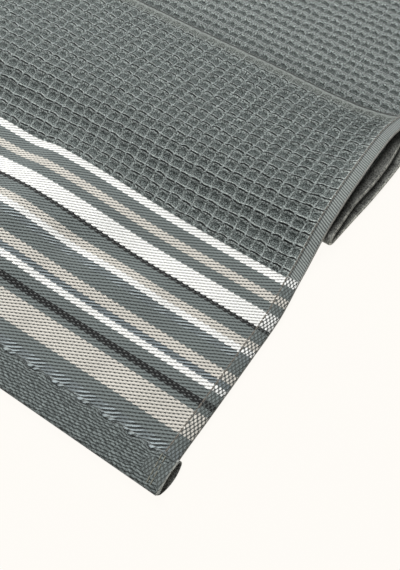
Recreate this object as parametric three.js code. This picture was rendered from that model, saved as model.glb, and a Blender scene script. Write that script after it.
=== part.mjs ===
import * as THREE from "three";
import { mergeVertices } from "three/addons/utils/BufferGeometryUtils.js";

// A waffle-weave face towel with a striped end, laid down with one back-and-forth fold.
// Millimetres, +Z up. X runs across the towel, Y from the striped hem to the far end.

// Flat size of the finished towel
const WIDTH = 300;
const LENGTH = 500;

// Hems, and the plain twill ends beside them, measured along the cloth
const SIDE_HEM = 5.3;
const END_HEM = 12.6;
const STRIPED_END = 97;
const FAR_BAND = 22;

// Thickness of the single twill, of the waffle weave and of the turned hems
const TWILL_THICK = 1.3;
const WAFFLE_THICK = 1.8;
const SIDE_HEM_THICK = 2.2;
const END_HEM_THICK = 2.6;
const THICKNESS_BLEND = 1.6;
const RIM_BULGE = 0.4;

// The fold: the top layer turns down at the ridge, the middle one turns under at the nose
const RIDGE_AT = 192;
const CLIMB_ENDS = 134;
const SHELF_HEIGHT = 6;
const NOSE_Y = 123;
const LAYER_GAP = 0.6;

// The top layer, from the striped hem up to the ridge, in millimetres. along: distance on the
// cloth. edge: how far the right-hand hem swings out. drift: how far the middle of the cloth
// lags it. bow: how far the rows run on beside the hem. under: height of the underside.
// lift: what the loose right-hand edge adds to it.
const TOP_ROWS = [
  { along: 0, edge: -2.5, drift: 0, bow: 0, under: 0, lift: 0 },
  { along: 14, edge: -2.2, drift: 0, bow: 0, under: 0, lift: 0 },
  { along: 34, edge: -1.1, drift: 0.5, bow: 0, under: 0, lift: 0 },
  { along: 59, edge: 0.1, drift: 1, bow: 0, under: 0, lift: 0 },
  { along: 79, edge: 0.9, drift: 1.5, bow: 0, under: 0, lift: 0 },
  { along: 97, edge: -0.2, drift: 2, bow: 0.7, under: 0, lift: 0 },
  { along: 104, edge: -0.6, drift: 1.8, bow: 1.3, under: 0.2, lift: 0.2 },
  { along: 110, edge: -1, drift: 1, bow: 2, under: 1.2, lift: 0.5 },
  { along: 117, edge: -1.4, drift: -0.4, bow: 2.8, under: 3.2, lift: 1 },
  { along: 125, edge: -1.6, drift: -1.6, bow: 3.6, under: 4.9, lift: 1.6 },
  { along: CLIMB_ENDS, edge: -1.6, drift: -1.8, bow: 4.6, under: 5.7, lift: 2.2 },
  { along: 150, edge: -1.2, drift: -0.8, bow: 6.2, under: 5.9, lift: 2.8 },
  { along: 165, edge: -0.6, drift: 0.4, bow: 7.2, under: 5.9, lift: 2.8 },
  { along: 180, edge: 0.8, drift: 0.6, bow: 7.6, under: SHELF_HEIGHT, lift: 2.6 },
  { along: RIDGE_AT, edge: 3.2, drift: 0.6, bow: 7.8, under: SHELF_HEIGHT, lift: 2 },
];

// The middle layer, from the ridge back to the nose. share: part of the way.
const MIDDLE_ROWS = [
  { share: 0, edge: 4.2, rise: 0 },
  { share: 0.3, edge: 5.2, rise: 0.7 },
  { share: 0.5, edge: 4.4, rise: 1 },
  { share: 0.75, edge: 2, rise: 0.7 },
  { share: 1, edge: 1.5, rise: 0 },
];

// The bottom layer, from the nose to the far end. away: distance from the nose.
const BOTTOM_ROWS = [
  { away: 0, edge: 2.6 },
  { away: 14, edge: 4.6 },
  { away: 30, edge: 7 },
  { away: 54, edge: 9.4 },
  { away: 110, edge: 12 },
  { away: 240, edge: 13 },
];

// The ripples of the striped end: one broad swell, and the smaller crests and dips on it.
// Where each crest is, and how far it takes to die away to the right, to the left, towards
// the hem (before) and towards the fold (after).
const RIPPLES = [
  { fromRight: 113, along: 66, height: 5.4, toRight: 62, toLeft: 52, before: 50, after: 80 },
  { fromRight: 60, along: 59, height: 1.5, toRight: 22, toLeft: 20, before: 18, after: 12 },
  { fromRight: 116, along: 60, height: 1.5, toRight: 14, toLeft: 16, before: 22, after: 16 },
  { fromRight: 88, along: 61, height: -1.8, toRight: 16, toLeft: 16, before: 12, after: 12 },
  { fromRight: 100, along: 40, height: 1.2, toRight: 16, toLeft: 26, before: 14, after: 12 },
  { fromRight: 134, along: 92, height: -2.4, toRight: 14, toLeft: 22, before: 22, after: 18 },
];

// Near the right-hand hem the ridge is tucked back towards the striped end
const RIDGE_TUCK = 4.2;
const TUCK_REACH = 75;
const TUCK_STARTS = 170;

// How far from the hem the bow of the rows and the lift of the edge reach
const BOW_REACH = 22;
const LIFT_REACH = 18;
const MIDDLE_RISE_REACH = 20;

// Curve through the rows of a table: even between rows, with no overshoot at a crest
function readTable(rows, key, column, at) {
  const last = rows.length - 2;
  let i = 0;
  while (i < last && at > rows[i + 1][key]) i += 1;
  const slopeOf = (k) => {
    const run = rows[k + 1][key] - rows[k][key];
    return (rows[k + 1][column] - rows[k][column]) / run;
  };
  const tangent = (k) => {
    if (k === 0) return slopeOf(0);
    if (k === rows.length - 1) return slopeOf(k - 1);
    const before = slopeOf(k - 1);
    const after = slopeOf(k);
    return before * after > 0 ? (2 * before * after) / (before + after) : 0;
  };
  const run = rows[i + 1][key] - rows[i][key];
  const t = THREE.MathUtils.clamp((at - rows[i][key]) / run, 0, 1);
  const rest = 1 - t;
  return (
    rest * rest * (1 + 2 * t) * rows[i][column] +
    t * t * (3 - 2 * t) * rows[i + 1][column] +
    t * rest * run * (rest * tangent(i) - t * tangent(i + 1))
  );
}

// A rounded hump: 1 at its crest, 0 from the given reach on
function hump(offset, reach) {
  const t = Math.min(Math.abs(offset) / reach, 1);
  return 0.5 + 0.5 * Math.cos(Math.PI * t);
}

// Height that the ripples add, none where the cloth has climbed onto the fold
function rippleHeight(fromRight, along, under) {
  let height = 0;
  for (const ripple of RIPPLES) {
    const across = fromRight - ripple.fromRight;
    const ahead = along - ripple.along;
    const sideways = hump(across, across < 0 ? ripple.toRight : ripple.toLeft);
    const lengthways = hump(ahead, ahead < 0 ? ripple.before : ripple.after);
    height += ripple.height * sideways * lengthways;
  }
  return Math.max(height, 0) * (1 - under / SHELF_HEIGHT);
}

// Thickness of the cloth at a place on it: hems, twill ends and waffle field
function thicknessAt(fromRight, along) {
  const step = (distance) => THREE.MathUtils.smoothstep(distance, -THICKNESS_BLEND, THICKNESS_BLEND);
  const toSide = Math.min(fromRight, WIDTH - fromRight);
  const toEnd = Math.min(along, LENGTH - along);
  const inWaffle = Math.min(step(along - STRIPED_END), step(LENGTH - FAR_BAND - along));
  const inSideHem = step(SIDE_HEM - toSide);
  const inEndHem = step(END_HEM - toEnd);
  const field = THREE.MathUtils.lerp(TWILL_THICK, WAFFLE_THICK, inWaffle);
  const besideHem = THREE.MathUtils.lerp(field, SIDE_HEM_THICK, inSideHem);
  return THREE.MathUtils.lerp(besideHem, END_HEM_THICK, inEndHem);
}

// Ground covered by the top layer, shortened where the cloth climbs
const groundCovered = [0];
for (let along = 1; along <= RIDGE_AT; along += 1) {
  const climb =
    readTable(TOP_ROWS, "along", "under", along) - readTable(TOP_ROWS, "along", "under", along - 1);
  groundCovered.push(groundCovered[along - 1] + Math.sqrt(1 - climb * climb));
}

// Middle surface of the top layer
function topLayer(fromRight, along) {
  const row = (column) => readTable(TOP_ROWS, "along", column, along);
  const beside = Math.exp(-Math.max(fromRight - SIDE_HEM, 0) / BOW_REACH);
  const whole = Math.min(Math.floor(along), RIDGE_AT - 1);
  const ground = THREE.MathUtils.lerp(groundCovered[whole], groundCovered[whole + 1], along - whole);
  const nearRidge = THREE.MathUtils.smoothstep(along, TUCK_STARTS, RIDGE_AT);
  const tuck = RIDGE_TUCK * hump(fromRight, TUCK_REACH) * nearRidge;
  return new THREE.Vector3(
    SIDE_HEM - fromRight + row("edge") + row("drift") * (1 - beside),
    ground + row("bow") * beside - tuck,
    row("under") +
      row("lift") * Math.exp(-fromRight / LIFT_REACH) +
      rippleHeight(fromRight, along, row("under")) +
      thicknessAt(fromRight, along) / 2,
  );
}

// Height of the middle layer, which lies on the bottom one and clears its thicker hems
function middleHeight(fromRight) {
  const toSide = Math.min(fromRight, WIDTH - fromRight);
  const besideHem = 1 - THREE.MathUtils.smoothstep(toSide, SIDE_HEM, 3 * SIDE_HEM);
  const thick = THREE.MathUtils.lerp(WAFFLE_THICK, SIDE_HEM_THICK, besideHem);
  return thick + LAYER_GAP + thick / 2;
}

// Middle surface of the middle layer
function middleLayer(fromRight, share) {
  const start = topLayer(fromRight, RIDGE_AT);
  const drift = readTable(TOP_ROWS, "along", "drift", RIDGE_AT) * (1 - share);
  const beside = Math.exp(-Math.max(fromRight - SIDE_HEM, 0) / BOW_REACH);
  const row = (column) => readTable(MIDDLE_ROWS, "share", column, share);
  return new THREE.Vector3(
    SIDE_HEM - fromRight + row("edge") + drift * (1 - beside),
    THREE.MathUtils.lerp(start.y, NOSE_Y, share),
    middleHeight(fromRight) + row("rise") * Math.exp(-fromRight / MIDDLE_RISE_REACH),
  );
}

// Middle surface of the bottom layer, flat on the table
function bottomLayer(fromRight, away, along) {
  return new THREE.Vector3(
    SIDE_HEM - fromRight + readTable(BOTTOM_ROWS, "away", "edge", away),
    NOSE_Y + away,
    thicknessAt(fromRight, along) / 2,
  );
}

// Half-round turn from one layer into the next, bulging towards +Y or -Y
function turn(start, end, share, direction) {
  const angle = Math.PI * share;
  const radius = Math.abs(start.z - end.z) / 2;
  return new THREE.Vector3(
    THREE.MathUtils.lerp(start.x, end.x, share),
    THREE.MathUtils.lerp(start.y, end.y, share) + direction * radius * Math.sin(angle),
    (start.z + end.z) / 2 + ((start.z - end.z) / 2) * Math.cos(angle),
  );
}

// Lengths of cloth taken by the turns and by the middle layer, at mid-width
const MID_WIDTH = WIDTH / 2;
const ridgeStart = topLayer(MID_WIDTH, RIDGE_AT);
const RIDGE_TURN = (Math.PI / 2) * (ridgeStart.z - middleHeight(MID_WIDTH));
const MIDDLE_RUN = ridgeStart.y - NOSE_Y;
const NOSE_TURN = (Math.PI / 2) * (middleHeight(MID_WIDTH) - WAFFLE_THICK / 2);
const BOTTOM_RUN = LENGTH - RIDGE_AT - RIDGE_TURN - MIDDLE_RUN - NOSE_TURN;

// The cloth from hem to hem, one row for each stretch, with the steps it is modelled in
const STRETCHES = [
  { name: "front hem", length: END_HEM, steps: 4 },
  { name: "striped end", length: STRIPED_END - END_HEM, steps: 12 },
  { name: "climb over the nose", length: CLIMB_ENDS - STRIPED_END, steps: 12 },
  { name: "shelf", length: RIDGE_AT - CLIMB_ENDS, steps: 8 },
  { name: "ridge turn", length: RIDGE_TURN, steps: 8, shape: "ridge" },
  { name: "middle layer", length: MIDDLE_RUN, steps: 9, shape: "middle" },
  { name: "nose turn", length: NOSE_TURN, steps: 6, shape: "nose" },
  { name: "bottom layer", length: BOTTOM_RUN - FAR_BAND, steps: 20, shape: "bottom" },
  { name: "far twill band", length: FAR_BAND - END_HEM, steps: 2, shape: "bottom" },
  { name: "far hem", length: END_HEM, steps: 4, shape: "bottom" },
];
const BOTTOM_STARTS = RIDGE_AT + RIDGE_TURN + MIDDLE_RUN + NOSE_TURN;

// Point of the cloth's middle surface
function clothPoint(fromRight, stretch, share, along) {
  if (stretch.shape === "ridge") {
    return turn(topLayer(fromRight, RIDGE_AT), middleLayer(fromRight, 0), share, 1);
  }
  if (stretch.shape === "middle") return middleLayer(fromRight, share);
  if (stretch.shape === "nose") {
    return turn(middleLayer(fromRight, 1), bottomLayer(fromRight, 0, along), share, -1);
  }
  if (stretch.shape === "bottom") return bottomLayer(fromRight, along - BOTTOM_STARTS, along);
  return topLayer(fromRight, along);
}

// Stations along the cloth, from the striped hem to the far hem
const stations = [];
let stretchStart = 0;
STRETCHES.forEach((stretch, index) => {
  for (let k = 0; k < stretch.steps; k += 1) {
    const share = k / stretch.steps;
    stations.push({ stretch, share, along: stretchStart + share * stretch.length });
  }
  stretchStart += stretch.length;
  if (index === STRETCHES.length - 1) stations.push({ stretch, share: 1, along: LENGTH });
});

// Columns across the cloth, from the right-hand edge: close at the hems, wider between
const HEM_COLUMNS = [
  0,
  SIDE_HEM / 2,
  SIDE_HEM - THICKNESS_BLEND,
  SIDE_HEM + THICKNESS_BLEND,
  2.5 * SIDE_HEM,
];
const FIELD_COLUMNS = 20;
const fieldStart = HEM_COLUMNS[HEM_COLUMNS.length - 1];
const columns = [...HEM_COLUMNS];
for (let k = 1; k < FIELD_COLUMNS; k += 1) {
  columns.push(THREE.MathUtils.lerp(fieldStart, WIDTH - fieldStart, k / FIELD_COLUMNS));
}
[...HEM_COLUMNS].reverse().forEach((column) => columns.push(WIDTH - column));

// Middle surface and its upward side at every crossing of a station and a column
const surface = stations.map(({ stretch, share, along }) =>
  columns.map((column) => clothPoint(column, stretch, share, along)),
);
function surfaceNormal(row, column) {
  const clampRow = (r) => THREE.MathUtils.clamp(r, 0, stations.length - 1);
  const clampColumn = (c) => THREE.MathUtils.clamp(c, 0, columns.length - 1);
  const lengthways = surface[clampRow(row + 1)][column]
    .clone()
    .sub(surface[clampRow(row - 1)][column]);
  const sideways = surface[row][clampColumn(column + 1)]
    .clone()
    .sub(surface[row][clampColumn(column - 1)]);
  return lengthways.cross(sideways).normalize();
}

// A flat slab of cloth with a face, a back and a rounded rim, carried onto the fold
function foldedCloth() {
  const slab = new THREE.BoxGeometry(1, 1, 1, columns.length - 1, stations.length - 1, 2);
  const position = slab.getAttribute("position");
  for (let i = 0; i < position.count; i += 1) {
    const across = position.getX(i) + 0.5;
    const lengthways = position.getY(i) + 0.5;
    const side = position.getZ(i) * 2;
    const column = Math.round((1 - across) * (columns.length - 1));
    const row = Math.round(lengthways * (stations.length - 1));
    const point = surface[row][column].clone();
    const normal = surfaceNormal(row, column);
    const thick = thicknessAt(columns[column], stations[row].along);
    point.addScaledVector(normal, (side * thick) / 2);
    if (side === 0) {
      if (column === 0) point.x += RIM_BULGE;
      if (column === columns.length - 1) point.x -= RIM_BULGE;
      if (row === 0) point.y -= RIM_BULGE;
      if (row === stations.length - 1) point.y += RIM_BULGE;
    }
    position.setXYZ(i, point.x, point.y, Math.max(point.z, 0));
  }
  slab.deleteAttribute("normal");
  slab.deleteAttribute("uv");
  return mergeVertices(slab, 1e-4);
}

const cloth = foldedCloth();
cloth.computeBoundingBox();
const centre = cloth.boundingBox.getCenter(new THREE.Vector3());
cloth.translate(-centre.x, -centre.y, 0);
cloth.computeVertexNormals();

const cottonCloth = new THREE.MeshStandardMaterial({
  color: 0x5c6664,
  roughness: 0.95,
  metalness: 0,
});
const towelCloth = new THREE.Mesh(cloth, cottonCloth);
towelCloth.name = "towel_cloth";

const faceTowel = new THREE.Group();
faceTowel.add(towelCloth);

export default faceTowel;
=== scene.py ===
import math
from functools import partial

import bpy
import numpy as np
from mathutils import Matrix, Vector


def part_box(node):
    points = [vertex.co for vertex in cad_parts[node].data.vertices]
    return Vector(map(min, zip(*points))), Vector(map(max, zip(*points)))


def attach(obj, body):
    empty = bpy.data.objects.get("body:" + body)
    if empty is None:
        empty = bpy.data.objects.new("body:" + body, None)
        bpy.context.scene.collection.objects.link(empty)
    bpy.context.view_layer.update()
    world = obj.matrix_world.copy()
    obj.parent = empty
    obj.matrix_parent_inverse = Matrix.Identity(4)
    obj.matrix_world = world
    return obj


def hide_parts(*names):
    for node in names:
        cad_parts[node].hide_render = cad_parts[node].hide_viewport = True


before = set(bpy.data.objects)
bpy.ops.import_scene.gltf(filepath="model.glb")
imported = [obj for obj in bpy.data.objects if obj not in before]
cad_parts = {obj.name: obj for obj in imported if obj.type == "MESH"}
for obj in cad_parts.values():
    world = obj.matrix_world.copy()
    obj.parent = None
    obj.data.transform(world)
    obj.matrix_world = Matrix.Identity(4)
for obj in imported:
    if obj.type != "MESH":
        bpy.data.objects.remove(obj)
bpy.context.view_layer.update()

# Where the towel lies
# The towel is laid out in millimetres from the corner where its striped hem meets its
# right-hand seam: across to the left, along to the far end, and up from the table.
MM = 0.001
SIDE_HEM = 5.3
RIM_BULGE = 0.4
FAR_END_SWING = 13
low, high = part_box("towel_cloth")
SEAM_X = high[0] / MM - (SIDE_HEM + FAR_END_SWING + RIM_BULGE)
HEM_Y = low[1] / MM + RIM_BULGE


def on_table(points):
    """Points in the towel's own millimetres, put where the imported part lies, in metres."""
    return (np.asarray(points, float) + (SEAM_X, HEM_Y, 0)) * MM


# The table and the light
# A cream light table, wide enough to fill every view, takes almost no shadow. A soft lamp
# hangs over the towel, and a window behind it, on its left, puts the near walls of its cells
# in shade.
TABLE_SIDE = 3.0
TABLE_CLEARANCE = 0.0003


def feed(socket, value):
    """Another node's result linked to a socket, or a plain value set on it."""
    if isinstance(value, bpy.types.NodeSocket):
        value.id_data.links.new(value, socket)
    else:
        socket.default_value = value


def fill(node, **values):
    """A node's inputs by name, an underscore for each space: plain values or results."""
    for label, value in values.items():
        feed(node.inputs[label.replace("_", " ")], value)


bpy.ops.object.select_all(action="DESELECT")
bpy.ops.mesh.primitive_plane_add(size=TABLE_SIDE, location=(0, 0, -TABLE_CLEARANCE))
table_top = bpy.context.object
table_top.name = "table_top"
table_finish = bpy.data.materials.new("cream_table")
table_finish.use_nodes = True
fill(
    table_finish.node_tree.nodes["Principled BSDF"],
    Base_Color=(0.02, 0.02, 0.019, 1),
    Roughness=0.9,
    Specular_IOR_Level=0.0,
    Emission_Color=(1, 0.973, 0.93, 1),
    Emission_Strength=0.972,
)
table_top.data.materials.append(table_finish)

LIGHTS = (
    # name, place in metres, side in metres, watts
    ("overhead", (-0.3, -0.15, 0.85), 0.5, 6.5),
    ("window", (-0.42, 0.5, 0.68), 0.35, 9.5),
)
for name, place, side, watts in LIGHTS:
    bpy.ops.object.light_add(type="AREA", location=place)
    lamp = bpy.context.object
    lamp.name = name
    lamp.data.size = side
    lamp.data.energy = watts
    lamp.rotation_euler = Vector(place).to_track_quat("Z", "Y").to_euler()

world = bpy.data.worlds.new("soft_room")
bpy.context.scene.world = world
world.use_nodes = True
fill(world.node_tree.nodes["Background"], Color=(1, 1, 1, 1), Strength=0.12)
bpy.context.scene.view_settings.view_transform = "Standard"

# The camera
# It looks down on the striped corner from 0.21 m above the table, turned towards the fold.
CAMERA_PLACE = (23.3, -22.9, 211.75)
CAMERA_RIGHT = Vector((0.8416, 0.5381, 0.0470))
CAMERA_UP = Vector((-0.4959, 0.7350, 0.4625))
LENS = 54
SENSOR = 36
camera_data = bpy.data.cameras.new("camera")
camera_data.lens = LENS
camera_data.sensor_width = SENSOR
camera_data.sensor_fit = "HORIZONTAL"
camera_data.clip_start = 0.01
camera = bpy.data.objects.new("camera", camera_data)
bpy.context.scene.collection.objects.link(camera)
backward = CAMERA_RIGHT.cross(CAMERA_UP).normalized()
sideways = CAMERA_UP.cross(backward).normalized()
turn = Matrix((sideways, backward.cross(sideways), backward)).transposed().to_4x4()
camera.matrix_world = Matrix.Translation(on_table(CAMERA_PLACE)) @ turn
bpy.context.scene.camera = camera

# The striped end
# The towel is one length of cotton cloth. It starts as a plain twill end with white, sand
# and near-black weft stripes. Its end is turned up as a hem 12.6 mm deep, and its sides as
# hems 5.3 mm wide. All of it lies almost flat, but for one ripple up to the fold.
WIDTH = 300
LENGTH = 500
END_HEM = 12.6
STRIPED_END = 97
FAR_BAND = 22
TWILL_THICK = 1.3
WAFFLE_THICK = 1.8
SIDE_HEM_THICK = 2.2
END_HEM_THICK = 2.6
RIDGE_AT = 192
SHELF_HEIGHT = 6
NOSE_Y = 123
LAYER_GAP = 0.6
BOW_REACH = 22
LIFT_REACH = 18
MIDDLE_RISE_REACH = 20
RIDGE_TUCK = 4.2
TUCK_REACH = 75
TUCK_STARTS = 170
HEM_STEP = 0.45

# Along the cloth, swing of the right-hand edge, drift of the field, bow of the rows beside
# the hem, height of the underside, lift of the loose edge
EDGE, DRIFT, BOW, UNDER, LIFT = range(1, 6)
TOP_LAY = np.array((
    (0, -2.5, 0, 0, 0, 0),
    (14, -2.2, 0, 0, 0, 0),
    (34, -1.1, 0.5, 0, 0, 0),
    (59, 0.1, 1, 0, 0, 0),
    (79, 0.9, 1.5, 0, 0, 0),
    (97, -0.2, 2, 0.7, 0, 0),
    (104, -0.6, 1.8, 1.3, 0.2, 0.2),
    (110, -1, 1, 2, 1.2, 0.5),
    (117, -1.4, -0.4, 2.8, 3.2, 1),
    (125, -1.6, -1.6, 3.6, 4.9, 1.6),
    (134, -1.6, -1.8, 4.6, 5.7, 2.2),
    (150, -1.2, -0.8, 6.2, 5.9, 2.8),
    (165, -0.6, 0.4, 7.2, 5.9, 2.8),
    (180, 0.8, 0.6, 7.6, SHELF_HEIGHT, 2.6),
    (RIDGE_AT, 3.2, 0.6, 7.8, SHELF_HEIGHT, 2),
))
# Share of the way from the ridge back to the nose, swing of the edge, rise of the edge
RISE = 2
MIDDLE_LAY = np.array((
    (0, 4.2, 0),
    (0.3, 5.2, 0.7),
    (0.5, 4.4, 1),
    (0.75, 2, 0.7),
    (1, 1.5, 0),
))
# Distance from the nose, swing of the edge
BOTTOM_LAY = np.array((
    (0, 2.6),
    (14, 4.6),
    (30, 7),
    (54, 9.4),
    (110, 12),
    (240, FAR_END_SWING),
))
# Crest across, crest along, height, reach right, reach left, reach towards the hem, reach away
RIPPLES = (
    (113, 66, 5.4, 62, 52, 50, 80),
    (60, 59, 1.5, 22, 20, 18, 12),
    (116, 60, 1.5, 14, 16, 22, 16),
    (88, 61, -1.8, 16, 16, 12, 12),
    (100, 40, 1.2, 16, 26, 14, 12),
    (134, 92, -2.4, 14, 22, 22, 18),
)


def through(table, column, at):
    """Smooth curve through one column of a table, with no overshoot at its crests."""
    places, values = table[:, 0], table[:, column]
    runs = np.diff(places)
    slopes = np.diff(values) / runs
    before, after = slopes[:-1], slopes[1:]
    agree = before * after > 0
    tangents = np.concatenate((slopes[:1], np.zeros(len(slopes) - 1), slopes[-1:]))
    tangents[1:-1][agree] = (2 * before * after)[agree] / (before + after)[agree]
    k = np.clip(np.searchsorted(places, at, side="right") - 1, 0, len(runs) - 1)
    t = np.clip((at - places[k]) / runs[k], 0, 1)
    rest = 1 - t
    return (
        rest * rest * (1 + 2 * t) * values[k]
        + t * t * (3 - 2 * t) * values[k + 1]
        + t * rest * runs[k] * (rest * tangents[k] - t * tangents[k + 1])
    )


def ease(value, start, end):
    """0 before the start, 1 after the end, smooth between."""
    t = np.clip((value - start) / (end - start), 0, 1)
    return t * t * (3 - 2 * t)


def hump(offset, reach_before, reach_after):
    """1 at its crest, 0 from its reach on."""
    t = np.minimum(np.abs(offset) / np.where(offset < 0, reach_before, reach_after), 1)
    return 0.5 + 0.5 * np.cos(np.pi * t)


def ripple_height(across, along, under):
    """Height that the ripples add, none where the cloth has climbed onto the fold."""
    height = np.zeros(np.shape(across))
    for crest_across, crest_along, rise, right, left, before, after in RIPPLES:
        sideways = hump(across - crest_across, right, left)
        height = height + rise * sideways * hump(along - crest_along, before, after)
    return np.maximum(height, 0) * (1 - under / SHELF_HEIGHT)


def thickness(across, along):
    """Thickness of the whole cloth, hems included."""
    to_side = np.minimum(across, WIDTH - across)
    to_end = np.minimum(along, LENGTH - along)
    in_waffle = np.minimum(
        ease(along - STRIPED_END, -HEM_STEP, HEM_STEP),
        ease(LENGTH - FAR_BAND - along, -HEM_STEP, HEM_STEP),
    )
    thick = TWILL_THICK + (WAFFLE_THICK - TWILL_THICK) * in_waffle
    thick = thick + (SIDE_HEM_THICK - thick) * ease(SIDE_HEM - to_side, -HEM_STEP, HEM_STEP)
    return thick + (END_HEM_THICK - thick) * ease(END_HEM - to_end, -HEM_STEP, HEM_STEP)


# How far over the table each millimetre of the climbing cloth reaches
climb = np.diff(through(TOP_LAY, UNDER, np.arange(RIDGE_AT + 1.0)))
GROUND = np.concatenate(((0,), np.cumsum(np.sqrt(1 - climb * climb))))


def top_layer(across, along):
    """Middle surface of the top layer, from the striped hem up to the ridge."""
    beside = np.exp(-np.maximum(across - SIDE_HEM, 0) / BOW_REACH)
    under = through(TOP_LAY, UNDER, along)
    x = SIDE_HEM - across + through(TOP_LAY, EDGE, along)
    x = x + through(TOP_LAY, DRIFT, along) * (1 - beside)
    y = np.interp(along, np.arange(RIDGE_AT + 1.0), GROUND)
    y = y + through(TOP_LAY, BOW, along) * beside
    tuck = RIDGE_TUCK * hump(across, TUCK_REACH, TUCK_REACH)
    y = y - tuck * ease(along, TUCK_STARTS, RIDGE_AT)
    z = under + through(TOP_LAY, LIFT, along) * np.exp(-across / LIFT_REACH)
    z = z + ripple_height(across, along, under) + thickness(across, along) / 2
    return np.stack((x, y, z), -1)


def middle_height(across):
    """Height of the middle layer, which lies on the bottom one and clears its hems."""
    to_side = np.minimum(across, WIDTH - across)
    beside_hem = 1 - ease(to_side, SIDE_HEM, 3 * SIDE_HEM)
    thick = WAFFLE_THICK + (SIDE_HEM_THICK - WAFFLE_THICK) * beside_hem
    return thick + LAYER_GAP + thick / 2


def middle_layer(across, share):
    """Middle surface of the middle layer, from the ridge back to the nose."""
    start = top_layer(across, np.full(np.shape(across), float(RIDGE_AT)))
    beside = np.exp(-np.maximum(across - SIDE_HEM, 0) / BOW_REACH)
    x = SIDE_HEM - across + through(MIDDLE_LAY, EDGE, share)
    x = x + TOP_LAY[-1, DRIFT] * (1 - share) * (1 - beside)
    y = start[..., 1] + (NOSE_Y - start[..., 1]) * share
    z = middle_height(across)
    z = z + through(MIDDLE_LAY, RISE, share) * np.exp(-across / MIDDLE_RISE_REACH)
    return np.stack((x, y, z), -1)


def bottom_layer(across, away, along):
    """Middle surface of the bottom layer, flat on the table."""
    x = SIDE_HEM - across + through(BOTTOM_LAY, EDGE, away)
    return np.stack((x, NOSE_Y + away, thickness(across, along) / 2), -1)


def half_turn(start, end, share, way):
    """Half-round turn from one layer into the next."""
    drop = (start[..., 2] - end[..., 2]) / 2
    point = start + (end - start) * share[..., None]
    point[..., 1] += way * np.abs(drop) * np.sin(np.pi * share)
    point[..., 2] = end[..., 2] + drop + drop * np.cos(np.pi * share)
    return point


MIDDLE = np.array(WIDTH / 2)
ridge_start = top_layer(MIDDLE, np.array(float(RIDGE_AT)))
RIDGE_TURN = math.pi / 2 * (ridge_start[2] - middle_height(MIDDLE))
MIDDLE_RUN = ridge_start[1] - NOSE_Y
NOSE_TURN = math.pi / 2 * (middle_height(MIDDLE) - WAFFLE_THICK / 2)
RIDGE_ENDS = RIDGE_AT + RIDGE_TURN
NOSE_STARTS = RIDGE_ENDS + MIDDLE_RUN
NOSE_ENDS = NOSE_STARTS + NOSE_TURN


def over_ridge(across, along):
    """The turn at the ridge, from the top layer down into the middle one."""
    start = top_layer(across, np.full(across.shape, float(RIDGE_AT)))
    end = middle_layer(across, np.zeros(across.shape))
    return half_turn(start, end, (along - RIDGE_AT) / RIDGE_TURN, 1)


def under_nose(across, along):
    """The turn at the nose, from the middle layer down into the bottom one."""
    start = middle_layer(across, np.ones(across.shape))
    end = bottom_layer(across, np.zeros(across.shape), along)
    return half_turn(start, end, (along - NOSE_STARTS) / NOSE_TURN, -1)


def middle_surface(across, along):
    """Middle surface of the whole cloth as it lies folded."""
    across, along = np.broadcast_arrays(np.asarray(across, float), np.asarray(along, float))
    point = np.empty(across.shape + (3,))
    stretches = (
        (-np.inf, RIDGE_AT, top_layer),
        (RIDGE_AT, RIDGE_ENDS, over_ridge),
        (RIDGE_ENDS, NOSE_STARTS, lambda a, s: middle_layer(a, (s - RIDGE_ENDS) / MIDDLE_RUN)),
        (NOSE_STARTS, NOSE_ENDS, under_nose),
        (NOSE_ENDS, np.inf, lambda a, s: bottom_layer(a, s - NOSE_ENDS, s)),
    )
    for start, end, shape in stretches:
        chosen = (along >= start) & (along < end)
        if chosen.any():
            point[chosen] = shape(across[chosen], along[chosen])
    return point


def lay(across, along, above):
    """Points of the flat cloth, above its middle surface, laid down in the fold."""
    step = 0.4
    here = middle_surface(across, along)
    ahead = middle_surface(across, np.minimum(along + step, LENGTH))
    behind = middle_surface(across, np.maximum(along - step, 0))
    leftward = middle_surface(np.minimum(across + step, WIDTH), along)
    rightward = middle_surface(np.maximum(across - step, 0), along)
    normal = np.cross(ahead - behind, leftward - rightward)
    normal /= np.linalg.norm(normal, axis=-1, keepdims=True)
    laid = here + normal * np.asarray(above)[..., None]
    laid[..., 2] = np.maximum(laid[..., 2], 0)
    return on_table(laid)


EDGE_RADIUS = 1.1
EDGE_BLUNTNESS = 0.12


def edge_roundness(across, along):
    """How full the cloth's section is: it closes round at its folded outer edges."""
    to_edge = np.minimum(np.minimum(across, WIDTH - across), np.minimum(along, LENGTH - along))
    t = np.clip(1 - to_edge / EDGE_RADIUS, 0, 1)
    return np.maximum(np.sqrt(1 - t * t), EDGE_BLUNTNESS)


def points_of(mesh):
    """The places of a mesh's points."""
    co = np.empty(len(mesh.vertices) * 3)
    mesh.vertices.foreach_get("co", co)
    return co.reshape(-1, 3)


def new_grid(name, columns, rows):
    """A flat grid of so many columns and rows of faces, and each point's column and row."""
    bpy.ops.object.select_all(action="DESELECT")
    bpy.ops.mesh.primitive_grid_add(x_subdivisions=columns, y_subdivisions=rows, size=1)
    piece = bpy.context.object
    piece.name = name
    co = points_of(piece.data)
    column = np.rint((co[:, 0] + 0.5) * columns).astype(int)
    row = np.rint((co[:, 1] + 0.5) * rows).astype(int)
    return piece, column, row


def map_cloth(mesh, **maps):
    """UV maps that hold a place on the flat cloth for each point of the mesh."""
    corner = np.empty(len(mesh.loops), int)
    mesh.loops.foreach_get("vertex_index", corner)
    while mesh.uv_layers:
        mesh.uv_layers.remove(mesh.uv_layers[0])
    for name, place in maps.items():
        mesh.uv_layers.new(name=name).data.foreach_set("uv", place[corner].ravel())


def as_sheet(piece):
    """A cut of the towel's cloth, which rides with the towel and stands for its solid."""
    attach(piece, "root")
    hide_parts("towel_cloth")


FACE_SHARE = 0.49
BACK_STARTS = 0.51
CREASE_ANGLE = math.radians(70)


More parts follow.
